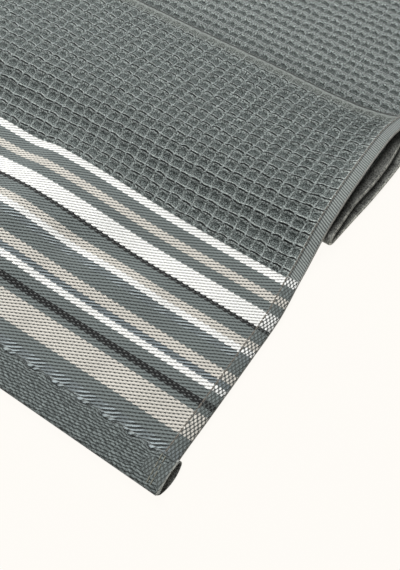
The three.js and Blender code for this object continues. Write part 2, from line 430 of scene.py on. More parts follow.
def cut_cloth(name, columns, rows, relief):
    """A grid of cloth, cut flat, given its thickness and relief, then laid in the fold.
    For each place relief gives the height of the face and of the back from the middle, and
    the place to which the weave has wandered."""
    columns, rows = np.concatenate(columns), np.concatenate(rows)
    piece, column, row = new_grid(name, len(columns) - 1, len(rows) - 1)
    across, along = columns[::-1][column], rows[row]
    flat = np.stack((-across, along, np.zeros(len(across))), -1)
    piece.data.vertices.foreach_set("co", flat.ravel())
    give = piece.modifiers.new("thickness", "SOLIDIFY")
    give.thickness = 1
    give.offset = 0
    bpy.ops.object.modifier_apply(modifier=give.name)

    mesh = piece.data
    co = points_of(mesh)
    across, along, face = -co[:, 0], co[:, 1], co[:, 2] > 0
    top, bottom, moved_across, moved_along = relief(across, along)
    above = np.where(face, top, -bottom)
    mesh.vertices.foreach_set("co", lay(moved_across, moved_along, above).ravel())
    place = np.stack((across, along), -1)
    width, length = columns[-1] - columns[0], rows[-1] - rows[0]
    share = (place - (columns[0], rows[0])) / (width, length)
    side = np.where(face, 0, BACK_STARTS)[:, None] * (1, 0)
    moved = np.stack((moved_across, moved_along), -1)
    map_cloth(mesh, cloth=moved, cells=place, OFBake=share * (FACE_SHARE, 1) + side)
    mesh.update()
    bpy.ops.object.shade_smooth_by_angle(angle=CREASE_ANGLE)
    as_sheet(piece)
    return piece


def face_places(piece):
    """Where each face of a piece lies on the flat cloth, and whether it is on its face side."""
    mesh = piece.data
    starts = np.empty(len(mesh.polygons), int)
    totals = np.empty(len(mesh.polygons), int)
    mesh.polygons.foreach_get("loop_start", starts)
    mesh.polygons.foreach_get("loop_total", totals)
    means = []
    for uv_map in ("cells", "OFBake"):
        uv = np.empty(len(mesh.loops) * 2)
        mesh.uv_layers[uv_map].data.foreach_get("uv", uv)
        means.append(np.add.reduceat(uv.reshape(-1, 2), starts) / totals[:, None])
    place, side = means
    return place[:, 0], place[:, 1], side[:, 0] < 0.5


def new_material(name):
    """A material with matt cotton in its shader, ready for its pattern."""
    material = bpy.data.materials.new(name)
    material.use_nodes = True
    shader = material.node_tree.nodes["Principled BSDF"]
    fill(shader, Roughness=0.92, Specular_IOR_Level=0.18, Sheen_Weight=0.25, Sheen_Roughness=0.45)
    return material, material.node_tree, shader


def maths(operation, *values):
    """One Math node with its values or sockets, in the sockets' own tree, and its result."""
    tree = next(value.id_data for value in values if isinstance(value, bpy.types.NodeSocket))
    step = tree.nodes.new("ShaderNodeMath")
    step.operation = operation
    for socket, value in zip(step.inputs, values):
        feed(socket, value)
    return step.outputs[0]


plus = partial(maths, "ADD")
minus = partial(maths, "SUBTRACT")
times = partial(maths, "MULTIPLY")
times_plus = partial(maths, "MULTIPLY_ADD")


def apart(one, other):
    """How far two numbers lie apart."""
    return maths("ABSOLUTE", minus(one, other))


def eased(value, start, end):
    """A Map Range node that runs smoothly from 0 at the start to 1 at the end."""
    step = value.id_data.nodes.new("ShaderNodeMapRange")
    step.interpolation_type = "SMOOTHSTEP"
    fill(step, Value=value, From_Min=start, From_Max=end)
    return step.outputs["Result"]


def fading(value, start, end):
    """The same the other way round: from 1 at the start to 0 at the end."""
    return minus(1.0, eased(value, start, end))


def blend(share, one, other):
    """A Mix node between two colours."""
    step = share.id_data.nodes.new("ShaderNodeMix")
    step.data_type = "RGBA"
    for name, value in (("Factor_Float", share), ("A_Color", one), ("B_Color", other)):
        feed(next(s for s in step.inputs if s.identifier == name), value)
    return next(s for s in step.outputs if s.identifier == "Result_Color")


def noise(place, scale, detail=2.0):
    """A Noise node over the given place, around 0."""
    step = place.id_data.nodes.new("ShaderNodeTexNoise")
    fill(step, Vector=place, Scale=scale, Detail=detail)
    return minus(step.outputs["Fac"], 0.5)


def changed(operation, place, amounts):
    """A place that is shifted by ADD, or stretched by MULTIPLY, in its three directions."""
    step = place.id_data.nodes.new("ShaderNodeVectorMath")
    step.operation = operation
    feed(step.inputs[0], place)
    feed(step.inputs[1], amounts)
    return step.outputs[0]


def split(place):
    """The X, Y and Z of a place."""
    parts = place.id_data.nodes.new("ShaderNodeSeparateXYZ")
    fill(parts, Vector=place)
    return parts.outputs


def place_on_cloth(tree, uv_map="cells"):
    """The piece's own place on the flat cloth, in millimetres, and its two numbers."""
    place = tree.nodes.new("ShaderNodeUVMap")
    place.uv_map = uv_map
    parts = split(place.outputs["UV"])
    return place.outputs["UV"], parts["X"], parts["Y"]


def new_group(name, inputs, outputs, colours=()):
    """A shader node group. Its inputs have their usual numbers, or None for a place, and its
    outputs are numbers, after any colours."""
    group = bpy.data.node_groups.new(name, "ShaderNodeTree")
    for label, value in inputs.items():
        kind = "NodeSocketVector" if value is None else "NodeSocketFloat"
        socket = group.interface.new_socket(label, in_out="INPUT", socket_type=kind)
        if value is not None:
            socket.default_value = value
    kinds = dict.fromkeys(colours, "NodeSocketColor") | dict.fromkeys(outputs, "NodeSocketFloat")
    for label, kind in kinds.items():
        group.interface.new_socket(label, in_out="OUTPUT", socket_type=kind)
    return group, group.nodes.new("NodeGroupInput").outputs, group.nodes.new("NodeGroupOutput")


def use_group(tree, group, **values):
    """A group placed in a material, with its own values, and its results."""
    placed = tree.nodes.new("ShaderNodeGroup")
    placed.node_tree = group
    fill(placed, **values)
    return placed.outputs


def bump(shader, height, depth):
    """A Bump node, depth in millimetres, into the shader's normal."""
    step = height.id_data.nodes.new("ShaderNodeBump")
    fill(step, Height=height, Distance=depth * MM)
    fill(shader, Normal=step.outputs["Normal"])


# The lattice of binding points that a twill shows: they stand where two families of slanting
# lines cross, each given by its waves per millimetre across and along
twill, given, made = new_group(
    "binding points",
    {
        "Place": None,
        "First across": -0.355,
        "First along": 0.68,
        "Second across": 0.355,
        "Second along": 0.68,
        "First width": 0.4,
        "Second width": 0.58,
        "Unevenness": 0.25,
    },
    ("Points", "Ribs", "Yarn"),
)
parts = split(given["Place"])
distances = []
squares = []
for family, scale, shift in (("First", 0.35, 0.0), ("Second", 0.31, 40.0)):
    stray = noise(changed("ADD", given["Place"], (shift, shift, shift)), scale)
    by_x = times(parts["X"], given[family + " across"])
    by_y = times(parts["Y"], given[family + " along"])
    phase = plus(minus(by_y, by_x), times(stray, given["Unevenness"]))
    distance = times(maths("PINGPONG", phase, 0.5), 2.0)
    distances.append(distance)
    squares.append(maths("POWER", maths("DIVIDE", distance, given[family + " width"]), 2.0))
reach = maths("SQRT", plus(*squares))
fill(made, Points=fading(reach, 0.65, 1.15))
fill(made, Ribs=eased(distances[0], 0.0, 0.8))
fill(made, Yarn=noise(given["Place"], 2.6, 3.0))

# The stripes, from the hem edge: where each starts, in millimetres, and its weft yarn.
# The fourth number of a yarn is how loosely its floats lie.
SLATE = (0.134, 0.154, 0.15, 0)
LOOSE_SLATE = (0.142, 0.163, 0.166, 1)
BLUE_SLATE = (0.138, 0.16, 0.168, 0.8)
WHITE = (0.73, 0.735, 0.71, 0)
SAND = (0.51, 0.488, 0.438, 0)
BLACK = (0.014, 0.0145, 0.0145, 0)
STRIPES = (
    (0.0, SLATE),
    (12.4, LOOSE_SLATE),
    (16.6, SLATE),
    (21.3, SAND),
    (31.1, SLATE),
    (33.9, BLACK),
    (36.6, SLATE),
    (40.9, WHITE),
    (43.4, BLUE_SLATE),
    (45.9, SAND),
    (50.1, SLATE),
    (56.4, LOOSE_SLATE),
    (59.2, WHITE),
    (61.8, SAND),
    (65.4, SLATE),
    (70.7, BLACK),
    (72.3, WHITE),
    (79.3, SLATE),
    (84.1, SAND),
    (87.7, SLATE),
    (93.0, WHITE),
    (96.9, SLATE),
)
weft, given, made = new_group("weft stripes", {"Along": 0.0}, ("Looseness",), colours=("Yarn",))
ramp = weft.nodes.new("ShaderNodeValToRGB")
ramp.color_ramp.interpolation = "CONSTANT"
bands = ramp.color_ramp.elements
while len(bands) > 1:
    bands.remove(bands[-1])
bands[0].color = SLATE
for start, yarn in STRIPES[1:]:
    bands.new(start / STRIPED_END).color = yarn
fill(ramp, Fac=maths("DIVIDE", given["Along"], STRIPED_END))
fill(made, Yarn=ramp.outputs["Color"])
fill(made, Looseness=ramp.outputs["Alpha"])


def lightness(colour):
    """How light a yarn is."""
    step = colour.id_data.nodes.new("ShaderNodeRGBToBW")
    fill(step, Color=colour)
    return step.outputs["Val"]


def toned(colour, tone):
    """A colour made darker or lighter by the given tone."""
    step = tone.id_data.nodes.new("ShaderNodeVectorMath")
    step.operation = "SCALE"
    feed(step.inputs[0], colour)
    fill(step, Scale=maths("MAXIMUM", tone, 0.2))
    return step.outputs[0]


# The end hem's seam draws the cloth into a groove, with puckers standing beyond it
SEAM_INSET = 0.1
GROOVE_DEPTH = 0.5
GROOVE_WIDTH = 0.35
GROOVE_SHADE = -0.75
PUCKER_PITCH = 10.4
PUCKER_DRIFT = 17.0
PUCKER_HEIGHT = 0.75
PUCKER_REACH = 2.8
SCALLOP_DEPTH = 0.9
SCALLOP_REACH = 2.4


def pucker_waves(across, stray):
    """Where the cloth stands up in puckers beside the seam: 1 on a pucker, 0 between."""
    drift = maths("SINE", maths("DIVIDE", across, PUCKER_DRIFT))
    turn = times_plus(across, 2 * math.pi / PUCKER_PITCH, drift)
    turn = times_plus(stray, 7.0, turn)
    return times_plus(maths("COSINE", turn), 0.5, 0.5)


def seam_groove(along):
    """1 in the groove that the end hem's seam draws into the cloth."""
    return fading(apart(along, END_HEM - SEAM_INSET), 0.1, GROOVE_WIDTH)


# The face of the twill: stripes in its weft, bound by the slate warp
WARP_LIT = (0.42, 0.41, 0.38, 1)
WARP_ON_BLACK = (0.12, 0.13, 0.125, 1)
WARP_DARK = (0.045, 0.05, 0.048, 1)
SEAM_PETAL = (0.26, 0.29, 0.28, 1)
STRIPE_TEETH = 0.45
EVEN_PUCKERS_END = 18.0
STRAY_PUCKERS_START = 30.0
face_twill, tree, shader = new_material("striped_twill")
place, across, along = place_on_cloth(tree)
wales = use_group(tree, twill, Place=place)
teeth = times(minus(wales["Ribs"], 0.5), STRIPE_TEETH)
filling = use_group(tree, weft, Along=plus(along, teeth))
yarn = filling["Yarn"]
from_seam = eased(along, EVEN_PUCKERS_END, STRAY_PUCKERS_START)
stray = times(noise(place, 0.09, 1.0), from_seam)
patch = eased(pucker_waves(across, stray), 0.1, 0.6)
loose = times(filling["Looseness"], patch)
light = lightness(yarn)
width = times_plus(times(light, light), -0.27, 0.46)
points = use_group(tree, twill, Place=place, First_width=width)
# Painted light on the wales: crests lighter and valleys darker, and on the loose floats a strong
# painted highlight along their crests with shade between
crest = minus(wales["Ribs"], 0.55)
crest = times(crest, times_plus(light, -0.6, 0.85))
thread = minus(maths("POWER", wales["Ribs"], 3.0), 0.4)
grain = times_plus(loose, 2.0, 1.7)
tone = times_plus(points["Yarn"], grain, 1.0)
tone = plus(crest, tone)
tone = times_plus(times(thread, loose), 1.9, tone)
tone = times_plus(noise(place, 0.06), 0.3, tone)
tone = times_plus(seam_groove(along), GROOVE_SHADE, tone)
from_side = maths("PINGPONG", across, WIDTH / 2)
# Painted shade on the cloth beside the side hem's raised edge
beside_hem = fading(from_side, SIDE_HEM + 0.2, SIDE_HEM + 0.7)
tone = times_plus(beside_hem, -0.7, tone)
base = toned(yarn, tone)
binding = blend(eased(light, 0.5, 0.72), WARP_DARK, WARP_LIT)
binding = blend(eased(light, 0.02, 0.08), WARP_ON_BLACK, binding)
woven = blend(points["Points"], base, binding)
petals = fading(apart(along, END_HEM + 0.5), 0.15, 0.45)
parted = eased(maths("PINGPONG", across, PUCKER_PITCH / 4), 0.5, 1.5)
petals = times(times(petals, parted), 0.6)
fill(shader, Base_Color=blend(petals, woven, SEAM_PETAL))
height = times_plus(points["Points"], -0.8, wales["Ribs"])
height = times_plus(loose, wales["Ribs"], height)
bump(shader, plus(height, points["Yarn"]), 0.2)

# A painted highlight for folded edges and rims, where they catch the light
EDGE_HIGHLIGHT = (0.34, 0.34, 0.3, 1)


def reverse_twill(name, net, slate_net, gain, grain, **weave):
    """The reverse of the twill: the weft shows as rows of dots in a net of slate warp."""
    material, tree, shader = new_material(name)
    place, across, along = place_on_cloth(tree)
    points = use_group(tree, twill, Place=place, **weave)
    yarn = use_group(tree, weft, Along=along)["Yarn"]
    tone = times_plus(lightness(yarn), -gain, gain + 1.0)
    tone = times_plus(points["Yarn"], grain, tone)
    tone = times_plus(seam_groove(along), GROOVE_SHADE, tone)
    tone = times_plus(noise(place, 0.7), grain, tone)
    net = blend(eased(lightness(yarn), 0.1, 0.4), slate_net, net)
    dots = blend(points["Points"], net, toned(yarn, tone))
    from_side = maths("PINGPONG", across, WIDTH / 2)
    # Painted highlight along the folded outer edge of the hem
    folded_edge = fading(from_side, 0.15, 0.5)
    fill(shader, Base_Color=blend(times(folded_edge, 0.6), dots, EDGE_HIGHLIGHT))
    bump(shader, plus(points["Points"], points["Yarn"]), 0.2)
    return material


NET = (0.07, 0.076, 0.072, 1)
SLATE_NET = (0.075, 0.084, 0.08, 1)
HEM_NET = (0.032, 0.037, 0.035, 1)
dotted_reverse = reverse_twill(
    "side_hem_reverse",
    NET,
    SLATE_NET,
    0.15,
    1.6,
    First_across=-0.8,
    First_along=0.29,
    Second_across=0.58,
    Second_along=0.458,
    First_width=0.9,
    Second_width=0.92,
)
end_reverse = reverse_twill(
    "end_hem_reverse",
    HEM_NET,
    HEM_NET,
    0.25,
    3.2,
    First_across=0.37,
    First_along=0.685,
    Second_across=-0.13,
    Second_along=0.925,
    First_width=1.1,
    Second_width=0.88,
    Unevenness=1.2,
)

# The back of the cloth, with a painted highlight along its folded edges, and a little paler by
# painted light where the bottom layer catches light beyond the nose
BACK_YARN = (0.115, 0.117, 0.107, 1)
cloth_back, tree, shader = new_material("cloth_back")
place, across, along = place_on_cloth(tree)
folded_edge = fading(maths("PINGPONG", across, WIDTH / 2), 0.4, 0.95)
tone = times_plus(noise(place, 1.4), 4.0, 1.0)
tone = times_plus(noise(place, 0.25), 2.0, tone)
beyond_nose = eased(along, NOSE_STARTS - 3, NOSE_STARTS + 1)
tone = times(tone, times_plus(beyond_nose, 0.4, 1.0))
back_with_lit_edge = blend(folded_edge, BACK_YARN, EDGE_HIGHLIGHT)
fill(shader, Base_Color=toned(back_with_lit_edge, tone))
bump(shader, noise(place, 1.4), 0.5)


def plain_relief(across, along):
    """The twill end and the hems: even, but puckered and scalloped along the end hem's seam."""
    half = thickness(across, along) / 2 * edge_roundness(across, along)
    beyond = along - END_HEM
    standing = np.where(beyond > 0, np.exp(-np.maximum(beyond, 0) / PUCKER_REACH), 0)
    turn = 2 * np.pi * across / PUCKER_PITCH + np.sin(across / PUCKER_DRIFT)
    waves = 0.5 + 0.5 * np.cos(turn)
    inside = ease(np.minimum(across, WIDTH - across), SIDE_HEM, 2 * SIDE_HEM)
    groove = GROOVE_DEPTH * np.exp(-(((beyond + SEAM_INSET) / GROOVE_WIDTH) ** 2))
    top = half + (PUCKER_HEIGHT * standing * waves - groove) * inside
    scallop = SCALLOP_DEPTH * waves * inside * np.exp(-((beyond / SCALLOP_REACH) ** 2))
    return top, half, across, along - scallop


def evenly(start, end, pitch):
    """Evenly spaced places, about a pitch apart."""
    return np.linspace(start, end, max(2, round((end - start) / pitch) + 1))


right_edge = np.array((0, 0.12, 0.35, 0.7, 1.2, 2.0, 3.0, 4.0, 4.6, 5.0, 5.3, 5.6, 6.0))
left_edge = WIDTH - right_edge[::-1]
end_rows = np.array((
    0, 0.12, 0.35, 0.7, 1.2, 2.2, 4, 6, 8, 10, 11.4, 12.1, 12.35, 12.6, 12.85, 13.2, 13.8
))
TWILL_FROM_SIDE = 7.2
TWILL_FROM_END = 14.6
striped_end = cut_cloth(
    "striped_end",
    (right_edge, evenly(TWILL_FROM_SIDE, WIDTH - TWILL_FROM_SIDE, 1.6), left_edge),
    (end_rows, evenly(TWILL_FROM_END, STRIPED_END - 2, 1.7), (STRIPED_END - 1, STRIPED_END)),
    plain_relief,
)
for finish in (face_twill, dotted_reverse, end_reverse):
    striped_end.data.materials.append(finish)
across, along, on_face = face_places(striped_end)
finish_of = np.zeros(len(across), int)
finish_of[(across < SIDE_HEM) | (across > WIDTH - SIDE_HEM) | ~on_face] = 1
finish_of[(along < END_HEM) & on_face] = 2
striped_end.data.polygons.foreach_set("material_index", finish_of)

# The waffle field of the top layer
# Above the stripes the cloth is woven as honeycomb: square hollows between raised floats,
# on both faces, half a cell apart. It climbs over the fold and runs level to the ridge.
CELL = 5.3
ROW = 5.45
FIRST_RIDGE_ACROSS = SIDE_HEM - 0.22 * CELL
FIRST_RIDGE_ALONG = STRIPED_END - 1 - 0.36 * ROW
HOLLOW = 1.2
BACK_HOLLOW = 0.35
# Heights of the floats as shares of the hollow, and their half widths as shares of a cell
WARP_FLOAT_HEIGHT = 0.36
WARP_FLOAT_PRESSED = 0.14
WARP_FLOAT_HALF = 0.05
WEFT_FLOAT_HEIGHT = 0.75
WEFT_FLOAT_HALF = 0.14
SLIT_DEPTH = 1.1
SLIT_HALF = 0.04
# Where the cells grow flatter and rounder, up the climb over the fold
FARTHER_FROM = 110
FARTHER_TO = 160
# How far from the side hem the cells start and reach their full depth, and how far on either
# side of a change of weave
CELLS_START = 0.9
CELLS_FULL = 2.4
WEAVE_BLEND = 0.6
# Waves by which the floats stray: millimetres, turns across and along in each cell, start
STRAY_ACROSS = ((0.16, 1.3, 2.1, 0), (0.12, 0.47, -1.9, 1))
STRAY_ALONG = ((0.2, 2.3, 0.9, 0), (0.16, 3.9, -0.6, 2))
BOW_VARIES = ((0.24, 1.7, 2.6, 0),)


def off_whole(value):
    """How far a number lies from the nearest whole one."""
    return np.abs(value - np.rint(value))


def cell_relief(cells_across, cells_along, pressed):
    """Height of the weave within its cells, 1 on the floats and 0 in the hollows."""
    from_warp = off_whole(cells_across)
    from_weft = off_whole(cells_along)
    middle = 0.5 - 0.5 * np.cos(2 * np.pi * from_warp)
    warp_height = WARP_FLOAT_HEIGHT - WARP_FLOAT_PRESSED * pressed
    warp_float = warp_height / (1 + (from_warp / WARP_FLOAT_HALF) ** 4)
    weft_height = WEFT_FLOAT_HEIGHT + (1 - WEFT_FLOAT_HEIGHT) * middle
    weft_width = WEFT_FLOAT_HALF + 0.03 * middle
    weft_float = weft_height / (1 + (from_weft / weft_width) ** 8)
    slit = SLIT_DEPTH * ease(from_warp, 0.04, 0.18) * np.exp(-((from_weft / SLIT_HALF) ** 2))
    return np.maximum(warp_float, weft_float - slit * (1 - pressed))


def wander(across, along):
    """How far the floats stray from true, in millimetres: uneven, and bowed in each cell."""
    p, q = across / CELL, along / ROW
    stray_x, stray_y, more = (
        sum(size * np.sin(by_p * p + by_q * q + start) for size, by_p, by_q, start in waves)
        for waves in (STRAY_ACROSS, STRAY_ALONG, BOW_VARIES)
    )
    bow = 0.5 - 0.5 * np.cos(2 * np.pi * (across - FIRST_RIDGE_ACROSS) / CELL)
    arch = 0.06 + 0.24 * ease(along, STRIPED_END + 15, STRIPED_END + 60)
    return stray_x, stray_y + (arch + more) * bow


def waffle_relief(across, along):
    """The waffle cloth: cells on both faces, plain at its hems and twill ends, and drawn flat
    where it turns over the ridge."""
    to_side = np.minimum(across, WIDTH - across)
    in_field = ease(to_side, SIDE_HEM + CELLS_START, SIDE_HEM + CELLS_FULL)
    in_field = in_field * ease(along, STRIPED_END - WEAVE_BLEND, STRIPED_END + WEAVE_BLEND)
    in_field = in_field * ease(LENGTH - FAR_BAND - along, -WEAVE_BLEND, WEAVE_BLEND)
    stretched = ease(along, RIDGE_AT - 4, RIDGE_AT - 1) * ease(RIDGE_AT + 4 - along, 0, 1)
    in_field = in_field * (1 - 0.8 * stretched)
    cells_across = (across - FIRST_RIDGE_ACROSS) / CELL
    cells_along = (along - FIRST_RIDGE_ALONG) / ROW
    half = thickness(across, along) / 2
    round_edge = edge_roundness(across, along)
    pressed = 0.3 * ease(along, FARTHER_FROM, FARTHER_TO)
    pressed = pressed + 0.7 * ease(along, NOSE_ENDS, NOSE_ENDS + 20)
    sink = HOLLOW * in_field * (1 - cell_relief(cells_across, cells_along, pressed))
    back_relief = cell_relief(cells_across + 0.5, cells_along + 0.5, pressed)
    back_sink = BACK_HOLLOW * in_field * (1 - back_relief)
    stray_x, stray_y = wander(across, along)
    moved_across, moved_along = across + stray_x * in_field, along + stray_y * in_field
    return (half - sink) * round_edge, (half - back_sink) * round_edge, moved_across, moved_along


def cell_places(first, pitch, start, end, offsets):
    """Grid lines that follow the cells: the given shares of a cell, between two places."""
    cells = np.arange(math.floor((start - first) / pitch) - 1, math.ceil((end - first) / pitch) + 2)
    places = (cells[:, None] + np.asarray(offsets)).ravel() * pitch + first
    margin = 0.12 * pitch
    inside = places[(places > start + margin) & (places < end - margin)]
    return np.concatenate(((start,), np.sort(inside), (end,)))


columns_between = partial(cell_places, FIRST_RIDGE_ACROSS, CELL)
rows_between = partial(cell_places, FIRST_RIDGE_ALONG, ROW)
FINE_COLUMNS = (-0.42, -0.28, -0.15, -0.1, -0.05, 0, 0.05, 0.1, 0.15, 0.28)
FINE_ROWS = (-0.42, -0.26, -0.18, -0.13, -0.07, -0.025, 0.025, 0.07, 0.13, 0.18, 0.26, 0.42)
COARSE = (-0.36, -0.2, -0.08, 0.08, 0.2, 0.36)

# How the cells are shaded with painted light: masks of the hollows and slits, which take painted
# shade, of the lit floats, which take painted highlights, of the yarn grain, and of the cloth that
# is drawn taut over the ridge and turns down behind it, where it takes painted shade
waffle, given, made = new_group(
    "waffle cells",
    {"Cells": None, "Place": None},
    ("Hollow", "Slit", "Float", "Yarn", "Taut", "Turned"),
)
parts = split(given["Cells"])
cells_along = maths("DIVIDE", minus(parts["Y"], FIRST_RIDGE_ALONG), ROW)
from_warp = maths("DIVIDE", minus(parts["X"], FIRST_RIDGE_ACROSS), CELL)
from_warp = maths("PINGPONG", from_warp, 0.5)
from_weft = maths("PINGPONG", cells_along, 0.5)
from_row = minus(maths("FRACT", plus(cells_along, 0.5)), 0.5)
far_side = eased(from_row, -0.03, 0.03)
beyond_weft = eased(from_weft, 0.14, 0.2)
# The hollow is a square with round corners: its two reaches, each 1 at its edge. Farther up
# the cloth it is rounder.
farther = eased(parts["Y"], FARTHER_FROM, FARTHER_TO)
squareness = times_plus(farther, -0.9, 3.0)
reaches = []
for distance, furthest in ((from_warp, 0.45), (from_weft, times_plus(farther, -0.04, 0.31))):
    reach = maths("DIVIDE", minus(0.5, distance), furthest)
    reaches.append(maths("POWER", reach, squareness))
reach = times(plus(*reaches), times_plus(farther, -0.25, 1.0))
# Painted shade in the hollows: deeper on the wall beside each weft float, and a little deeper
# farther up the cloth
near_wall = maths("MAXIMUM", minus(eased(from_row, -0.5, -0.22), far_side), 0.0)
depth = times_plus(near_wall, 0.34, times_plus(farther, 0.12, 0.76))
fill(made, Hollow=times(fading(reach, 0.55, 1.15), depth))
# The slit parts the two bundles of a weft float, and is widest half-way along a cell's side
mid_side = eased(from_warp, 0.03, 0.16)
varied = times_plus(noise(given["Place"], 0.2, 1.0), 1.6, 0.95)
past = eased(parts["Y"], RIDGE_AT + 3, RIDGE_AT + 5)
slit_width = times(times(mid_side, 0.075), varied)
slit_width = times(slit_width, times_plus(past, -0.5, 1.0))
slit = maths("DIVIDE", from_weft, plus(slit_width, 0.001))
fill(made, Slit=fading(slit, 0.5, 1.2))
# Painted highlights on the lit lines: the warp floats beside the hollows, and the crests of the
# weft bundles
warp_line = times(fading(from_warp, 0.015, 0.055), beyond_weft)
warp_line = times(warp_line, times_plus(near_wall, -0.5, 0.5))
warp_line = times(warp_line, times_plus(farther, -0.3, 1.0))
from_bundle = maths("DIVIDE", apart(from_weft, 0.115), times_plus(farther, 0.6, 1.0))
weft_line = times(fading(from_bundle, 0.025, 0.08), mid_side)
weft_line = times(weft_line, times_plus(far_side, 0.4, 0.6))
fill(made, Float=maths("MAXIMUM", warp_line, weft_line))
threads = changed("MULTIPLY", given["Place"], (1.1, 2.0, 1))
fill(made, Yarn=noise(threads, 1.3, 2.0))
before = minus(1.0, past)
fill(made, Taut=times(eased(parts["Y"], RIDGE_AT - 6, RIDGE_AT - 1.5), before))
fill(made, Turned=times(eased(parts["Y"], RIDGE_AT - 0.5, RIDGE_AT + 0.2), before))

RIDGE_YARN = (0.193, 0.217, 0.209, 1)
HOLLOW_SHADE = (0.057, 0.067, 0.064, 1)
SLIT_SHADE = (0.012, 0.014, 0.013, 1)
WAFFLE_HIGHLIGHT = (0.3, 0.33, 0.315, 1)
TAUT_YARN = (0.19, 0.205, 0.187, 1)
UNDER_RIDGE = NOSE_ENDS + MIDDLE_RUN
waffle_cloth, tree, shader = new_material("waffle_cloth")
place, across, along = place_on_cloth(tree, "cloth")
cells, _, _ = place_on_cloth(tree)
weave = use_group(tree, waffle, Cells=cells, Place=place)
# Painted shade in the hollows and painted highlights on the lit floats
colour = blend(weave["Hollow"], RIDGE_YARN, HOLLOW_SHADE)
colour = blend(times(weave["Float"], 0.95), colour, WAFFLE_HIGHLIGHT)
colour = blend(times(weave["Taut"], 0.55), colour, TAUT_YARN)
farther = eased(along, FARTHER_FROM, FARTHER_TO)
grain = times_plus(weave["Hollow"], 11.0, 7.5)
grain = times(grain, times_plus(farther, -0.15, 1.0))
grain = times(grain, times_plus(weave["Taut"], -0.65, 1.0))
mottle = times_plus(weave["Yarn"], grain, 1.0)
mottle = maths("MAXIMUM", maths("MINIMUM", mottle, 2.3), 0.25)
# Painted shade: the cloth is much darker where it turns down behind the ridge
mottle = times(mottle, times_plus(weave["Turned"], -0.75, 1.0))
mottle = times(mottle, times_plus(farther, 0.1, 0.95))
# The bottom layer is in the ridge's shade where it comes out from under it
shade_fades = eased(along, UNDER_RIDGE + 8, UNDER_RIDGE + 28)
shade = times(eased(along, UNDER_RIDGE - 1, UNDER_RIDGE), times_plus(shade_fades, -0.12, 0.22))
mottle = times(mottle, minus(1.0, shade))
from_side = maths("PINGPONG", across, WIDTH / 2)
# A painted highlight along the inner fold of the side hem
hem_fold = fading(apart(from_side, SIDE_HEM + 0.35), 0.1, 0.35)
colour = blend(times(hem_fold, 0.7), colour, WAFFLE_HIGHLIGHT)
loosely = times_plus(weave["Taut"], -0.85, 1.0)
slit = times(times(weave["Slit"], 0.95), loosely)
colour = blend(slit, toned(colour, mottle), SLIT_SHADE)
fill(shader, Base_Color=colour)
bump(shader, minus(weave["Yarn"], weave["Slit"]), 0.3)

# The side hem's own twill, with a painted highlight on its folded edge and a painted shadow beside
# its thread
STRIP_SHADE = (0.06, 0.066, 0.063, 1)
STRIP_YARN = (0.282, 0.31, 0.296, 1)
LIT_EDGE = (0.44, 0.44, 0.4, 1)
THREAD_SHADOW_FROM_SIDE = 4.65
hem_strip, tree, shader = new_material("side_hem_twill")
place, across, _ = place_on_cloth(tree)
lines = use_group(tree, twill, Place=place, First_across=0.39, First_along=0.9)
from_side = maths("PINGPONG", across, WIDTH / 2)
strip = blend(lines["Ribs"], STRIP_SHADE, STRIP_YARN)
strip = blend(fading(from_side, 0.35, 0.6), strip, LIT_EDGE)
tone = times_plus(lines["Yarn"], 1.5, 1.0)
# Painted shadow beside the thread
thread_shadow = fading(apart(from_side, THREAD_SHADOW_FROM_SIDE), 0.1, 0.35)
tone = times_plus(thread_shadow, -0.6, tone)
fill(shader, Base_Color=toned(strip, tone))
bump(shader, plus(lines["Ribs"], lines["Yarn"]), 0.2)


def cut_waffle(name, columns, rows, strip=hem_strip):
    """Waffle cloth in the field, twill on the hem strips turned up at its sides, and the
    plain back of the cloth under them."""
    piece = cut_cloth(name, columns, rows, waffle_relief)
    for finish in (waffle_cloth, strip, cloth_back):
        piece.data.materials.append(finish)
    across, along, on_face = face_places(piece)
    finish_of = np.where(np.minimum(across, WIDTH - across) > SIDE_HEM, 0, np.where(on_face, 1, 2))
    piece.data.polygons.foreach_set("material_index", finish_of)


FIELD_FROM_SIDE = 6.9
TOP_RIGHT_ENDS = FIRST_RIDGE_ACROSS + 21.5 * CELL
TOP_MIDDLE_ENDS = FIRST_RIDGE_ACROSS + 40.5 * CELL
top_rows = (rows_between(STRIPED_END, RIDGE_AT, FINE_ROWS),)
cut_waffle(
    "waffle_top_right",
    (right_edge, columns_between(FIELD_FROM_SIDE, TOP_RIGHT_ENDS, FINE_COLUMNS)),
    top_rows,
)
cut_waffle(
    "waffle_top_middle",
    (columns_between(TOP_RIGHT_ENDS, TOP_MIDDLE_ENDS, FINE_COLUMNS),),
    top_rows,
)
cut_waffle(
    "waffle_top_left",
    (columns_between(TOP_MIDDLE_ENDS, WIDTH - FIELD_FROM_SIDE, COARSE), left_edge),
    (rows_between(STRIPED_END, RIDGE_AT, COARSE),),
)

# The fold
# At the ridge the cloth turns down and back under itself. At the nose it turns forward
# again, so that the towel lies in three layers there.
cut_waffle(
    "waffle_fold",
    (right_edge, columns_between(FIELD_FROM_SIDE, WIDTH - FIELD_FROM_SIDE, COARSE), left_edge),
    (
        evenly(RIDGE_AT, RIDGE_ENDS, 0.4),
        evenly(RIDGE_ENDS, NOSE_STARTS, 2)[1:-1],
        evenly(NOSE_STARTS, NOSE_ENDS, 0.3),
    ),
)

